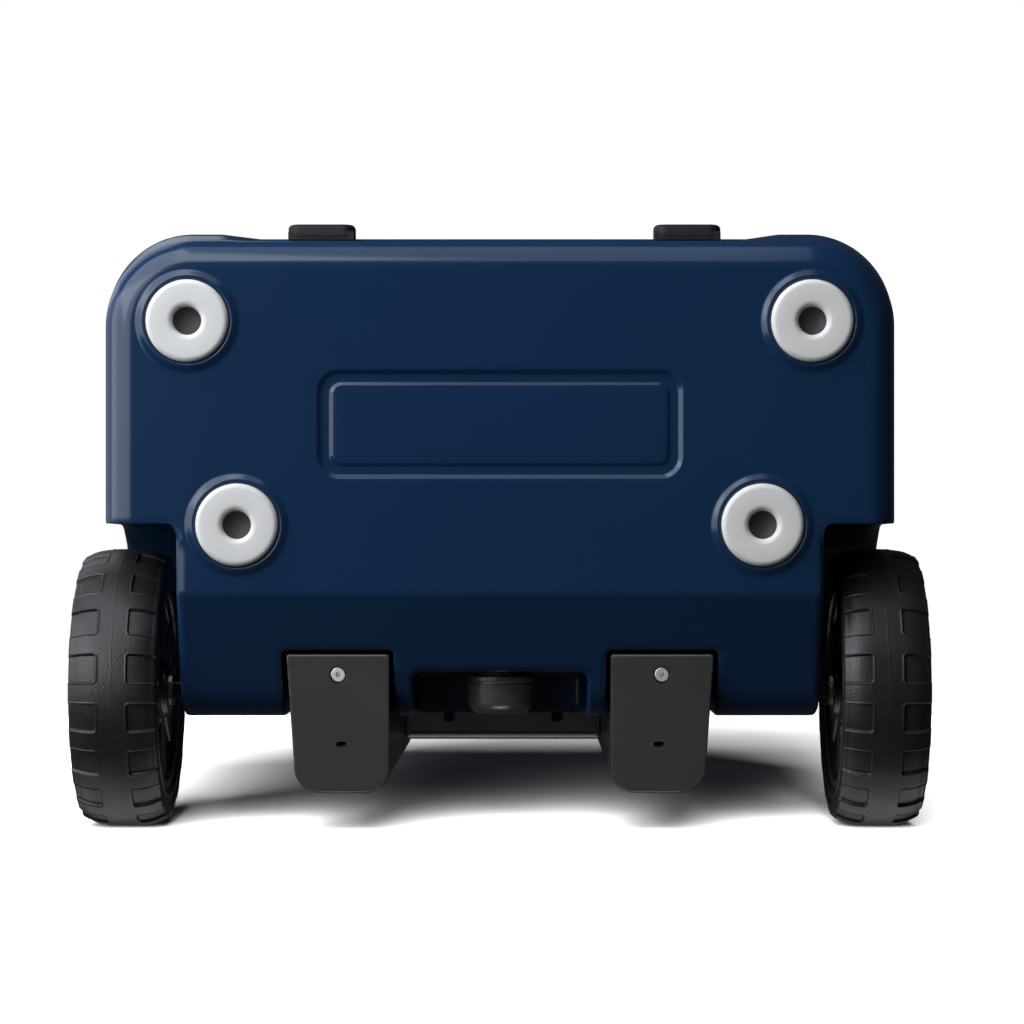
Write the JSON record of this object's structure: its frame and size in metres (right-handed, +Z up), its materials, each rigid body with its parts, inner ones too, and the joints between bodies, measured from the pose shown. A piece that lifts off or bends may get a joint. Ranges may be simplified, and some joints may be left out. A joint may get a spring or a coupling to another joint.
{
  "type": "wheeled cooler",
  "caption": "Insulated hard cooler with a hinged lid, rubber latches, rubber feet, rear wheels in recessed wells and a telescoping pull handle.",
  "frame": {"origin": "middle of the footprint, on the ground under the feet", "axes": "+Z up, -Y towards the front with the latches, +Y towards the wheels and the handle, +X to the right seen from the front"},
  "size_m": [0.52, 0.4096, 0.48],
  "materials": {
    "navy_plastic": "satin moulded polyethylene with a fine moulded grain",
    "black_plastic": "matte, finely textured moulded plastic",
    "black_rubber": "matte rubber",
    "tyre_rubber": "matte rubber with a satin sheen",
    "foot_rubber": "pale grey rubber, matte",
    "gasket_rubber": "soft matte rubber",
    "liner_plastic": "satin moulded plastic",
    "foam": "rigid insulating foam",
    "steel": "zinc-plated steel",
    "black_steel": "black oxide, satin",
    "aluminium": "black anodised"
  },
  "bodies": {
    "cooler_base": {"cooler_body": "navy_plastic", "body_foam": "foam", "foam_port_plug": "navy_plastic", "hinge_pin_left": "steel", "hinge_pin_right": "steel", "foot_front_left": "foot_rubber", "foot_front_right": "foot_rubber", "foot_rear_left": "foot_rubber", "foot_rear_right": "foot_rubber", "foot_screw_front_left": "black_steel", "foot_screw_front_right": "black_steel", "foot_screw_rear_left": "black_steel", "foot_screw_rear_right": "black_steel", "stub_axle_left": "steel", "stub_axle_right": "steel", "axle_spacer_left": "black_plastic", "axle_spacer_right": "black_plastic", "axle_washer_left": "steel", "axle_washer_right": "steel", "axle_clip_left": "steel", "axle_clip_right": "steel", "rail_housing_left": "black_plastic", "rail_housing_right": "black_plastic", "rail_end_plate_left": "black_plastic", "rail_end_plate_right": "black_plastic", "end_plate_screw_left": "steel", "end_plate_screw_right": "steel", "tube_guide_left": "black_plastic", "tube_guide_right": "black_plastic", "bridge_screw_left": "black_steel", "bridge_screw_right": "black_steel", "handle_bridge": "black_plastic"},
    "lid": {"lid_shell": "navy_plastic", "lid_liner": "liner_plastic", "lid_foam": "foam", "lid_gasket": "gasket_rubber", "latch_pin_left": "steel", "latch_pin_right": "steel"},
    "latch_left": {"latch_left": "black_rubber"},
    "latch_right": {"latch_right": "black_rubber"},
    "wheel_left": {"tyre_left": "tyre_rubber", "wheel_hub_left": "black_plastic", "wheel_bushing_left": "liner_plastic", "hub_cap_left": "black_plastic"},
    "wheel_right": {"tyre_right": "tyre_rubber", "wheel_hub_right": "black_plastic", "wheel_bushing_right": "liner_plastic", "hub_cap_right": "black_plastic"},
    "handle_stage_1": {"outer_tube_left": "aluminium", "outer_tube_right": "aluminium"},
    "handle_stage_2": {"inner_tube_left": "aluminium", "inner_tube_right": "aluminium", "handle_grip": "black_plastic", "button_spring": "steel"},
    "release_button": {"release_button": "black_rubber"},
    "drain_washer": {"drain_gasket": "gasket_rubber"},
    "drain_plug": {"drain_plug": "black_plastic"}
  },
  "joints": [
    {"name": "lid_hinge", "type": "hinge", "parent": "cooler_base", "child": "lid", "pos_m": [0, 0.12225, 0.45], "axis": [-1, 0, 0], "range_deg": [0, 90]},
    {"name": "latch_left_pivot", "type": "hinge", "parent": "lid", "child": "latch_left", "pos_m": [-0.1335, -0.19125, 0.462], "axis": [-1, 0, 0], "range_deg": [0, 90]},
    {"name": "latch_right_pivot", "type": "hinge", "parent": "lid", "child": "latch_right", "pos_m": [0.1335, -0.19125, 0.462], "axis": [-1, 0, 0], "range_deg": [0, 90]},
    {"name": "wheel_left_spin", "type": "hinge", "parent": "cooler_base", "child": "wheel_left", "pos_m": [-0.2335, 0.11825, 0.0885], "axis": [1, 0, 0], "continuous": true},
    {"name": "wheel_right_spin", "type": "hinge", "parent": "cooler_base", "child": "wheel_right", "pos_m": [0.2335, 0.11825, 0.0885], "axis": [1, 0, 0], "continuous": true},
    {"name": "handle_lower_stage", "type": "slide", "parent": "cooler_base", "child": "handle_stage_1", "axis": [0, 0, 1], "range_m": [0, 0.25]},
    {"name": "handle_upper_stage", "type": "slide", "parent": "handle_stage_1", "child": "handle_stage_2", "axis": [0, 0, 1], "range_m": [0, 0.25]},
    {"name": "button_press", "type": "slide", "parent": "handle_stage_2", "child": "release_button", "axis": [0, 0, -1], "range_m": [0, 0.004], "stiffness_N_per_m": 300, "deforming": ["button_spring"]},
    {"name": "drain_plug_advance", "type": "slide", "parent": "cooler_base", "child": "drain_washer", "axis": [0, 1, 0], "range_m": [0, 0.008]},
    {"name": "drain_plug_turn", "type": "hinge", "parent": "drain_washer", "child": "drain_plug", "pos_m": [0, 0.11825, 0.056], "axis": [0, 1, 0], "range_deg": [0, 720]}
  ],
  "couplings": [
    {"joint": "drain_plug_advance", "follows": "drain_plug_turn", "m_per_rad": 0.0006366}
  ]
}
